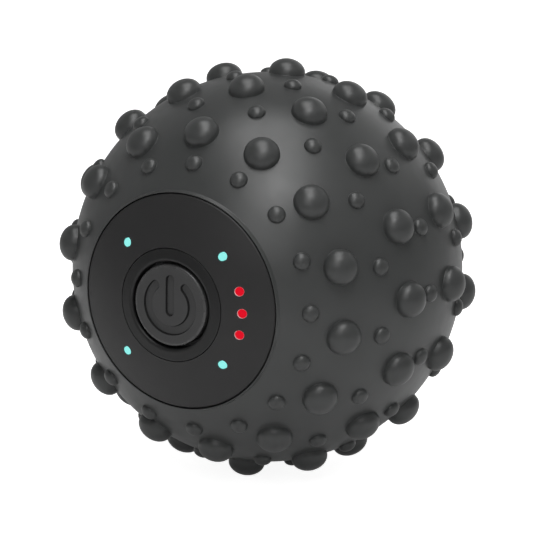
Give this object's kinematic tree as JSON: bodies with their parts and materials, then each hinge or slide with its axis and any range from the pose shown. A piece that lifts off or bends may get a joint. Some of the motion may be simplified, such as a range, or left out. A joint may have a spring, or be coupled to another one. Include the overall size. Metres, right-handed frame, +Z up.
{
  "type": "massage ball",
  "caption": "Cordless vibrating massage ball with a studded silicone sleeve, a domed control panel with a round power button, and a rear charging cover.",
  "frame": {"origin": "centre of the ball", "axes": "the ball's axis lies along Y, the control panel faces -Y, the charging cover faces +Y and +Z is up"},
  "size_m": [0.1304, 0.1173, 0.1304],
  "materials": {
    "silicone": "matte soft-touch silicone",
    "shell_plastic": "moulded, unpainted",
    "panel_plastic": "fine satin, dark",
    "cover_plastic": "fine satin, dark",
    "bezel_plastic": "semi-gloss, dark",
    "button_plastic": "satin, engraved power sign",
    "cyan_light": "lit light pipe",
    "red_light": "lit light pipe",
    "led_package": "surface-mount lamp",
    "circuit_board": "solder-masked laminate",
    "chip_plastic": "moulded package",
    "nylon": "natural nylon",
    "screw_steel": "zinc-plated",
    "motor_steel": "plated steel",
    "sintered_iron": "laminated or sintered iron",
    "copper_winding": "enamelled copper wire",
    "brass": "plain",
    "bronze": "sintered bronze",
    "switch_plastic": "moulded",
    "soft_rubber": "moulded rubber",
    "cell_sleeve": "shrink-wrapped cell; metal density",
    "nickel": "nickel strip",
    "lead_jacket": "insulated wire"
  },
  "bodies": {
    "ball_body": {"silicone_sleeve": "silicone", "front_shell": "shell_plastic", "rear_shell": "shell_plastic", "shell_screws": "screw_steel", "control_panel": "panel_plastic", "panel_gasket": "soft_rubber", "panel_screws": "screw_steel", "button_bezel": "bezel_plastic", "switch_body": "switch_plastic", "speed_light_pipes": "cyan_light", "battery_light_pipes": "red_light", "speed_leds": "led_package", "battery_leds": "led_package", "control_board": "circuit_board", "board_screws": "screw_steel", "board_sockets": "nylon", "lead_plugs": "nylon", "controller_chip": "chip_plastic", "motor_can": "motor_steel", "motor_end_bell": "nylon", "motor_terminals": "brass", "shaft_bushes": "bronze", "motor_magnets": "sintered_iron", "chassis": "shell_plastic", "chassis_screws": "screw_steel", "motor_clamp": "shell_plastic", "clamp_screws": "screw_steel", "motor_isolators": "soft_rubber", "battery_cells": "cell_sleeve", "cell_tabs": "nickel", "cell_retainer": "shell_plastic", "retainer_screws": "screw_steel", "charging_cover": "cover_plastic", "cover_gasket": "soft_rubber", "cover_screws": "screw_steel", "charging_socket": "motor_steel", "socket_tongue": "switch_plastic", "charging_board": "circuit_board", "charging_board_screws": "screw_steel", "motor_leads": "lead_jacket", "cell_leads": "lead_jacket", "charge_leads": "lead_jacket"},
    "button": {"power_button": "button_plastic", "switch_plunger": "nylon"},
    "rotor": {"motor_shaft": "motor_steel", "motor_armature": "sintered_iron", "armature_windings": "copper_winding", "commutator": "brass", "eccentric_weights": "motor_steel", "weight_screws": "screw_steel"}
  },
  "joints": [
    {"name": "button_press", "type": "slide", "parent": "ball_body", "child": "button", "axis": [0, 1, 0], "range_m": [0, 0.0007], "stiffness_N_per_m": 3000, "springref_m": -0.0005},
    {"name": "motor_spin", "type": "hinge", "parent": "ball_body", "child": "rotor", "pos_m": [0, -0.006, 0], "axis": [1, 0, 0], "continuous": true}
  ]
}
